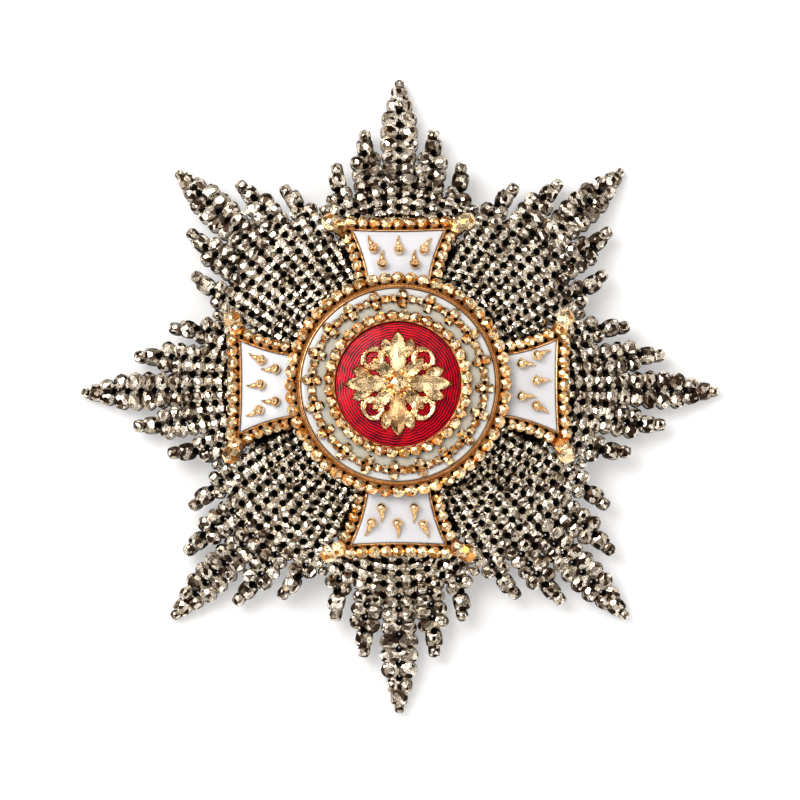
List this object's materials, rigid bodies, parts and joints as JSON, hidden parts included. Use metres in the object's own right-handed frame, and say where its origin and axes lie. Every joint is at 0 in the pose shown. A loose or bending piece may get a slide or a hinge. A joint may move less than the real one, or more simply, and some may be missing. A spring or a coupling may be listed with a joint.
{
  "type": "breast star",
  "caption": "Domed star badge of pierced, facet-cut silver rays under an enamelled cross and a beaded medallion, with a breast pin behind.",
  "frame": {"origin": "on the surface that the star lies on, under the star's centre: the lowest points of the long ray tips are at z = 0", "axes": "+Z out of the front of the star, +Y to the tip of the top ray, +X to the right when the star is seen from the front"},
  "size_m": [0.088, 0.088, 0.0119],
  "materials": {
    "cut_silver": "facet-cut silver, polished, with dark tarnish in the recesses",
    "plain_silver": "plain silver, softly polished",
    "gold": "gilt, facet-cut beads on a matt ground",
    "ornament_gold": "gilt, engraved and polished",
    "white_enamel": "opaque white fired enamel, glossy",
    "ring_enamel": "opaque off-white fired enamel, glossy",
    "red_enamel": "translucent red fired enamel over engine turning, glossy"
  },
  "bodies": {
    "root": {"rays_top": "cut_silver", "rays_top_right": "cut_silver", "rays_right": "cut_silver", "rays_bottom_right": "cut_silver", "rays_bottom": "cut_silver", "rays_bottom_left": "cut_silver", "rays_left": "cut_silver", "rays_top_left": "cut_silver", "back_plate": "plain_silver", "breast_pin": "plain_silver", "cross_frame": "gold", "enamel_top": "white_enamel", "enamel_right": "white_enamel", "enamel_bottom": "white_enamel", "enamel_left": "white_enamel", "flames_top": "ornament_gold", "flames_right": "ornament_gold", "flames_bottom": "ornament_gold", "flames_left": "ornament_gold", "bead_ring": "gold", "white_ring": "ring_enamel", "chain_collar": "gold", "inner_bead_ring": "gold", "red_disc": "red_enamel", "rosette": "ornament_gold"}
  },
  "joints": []
}
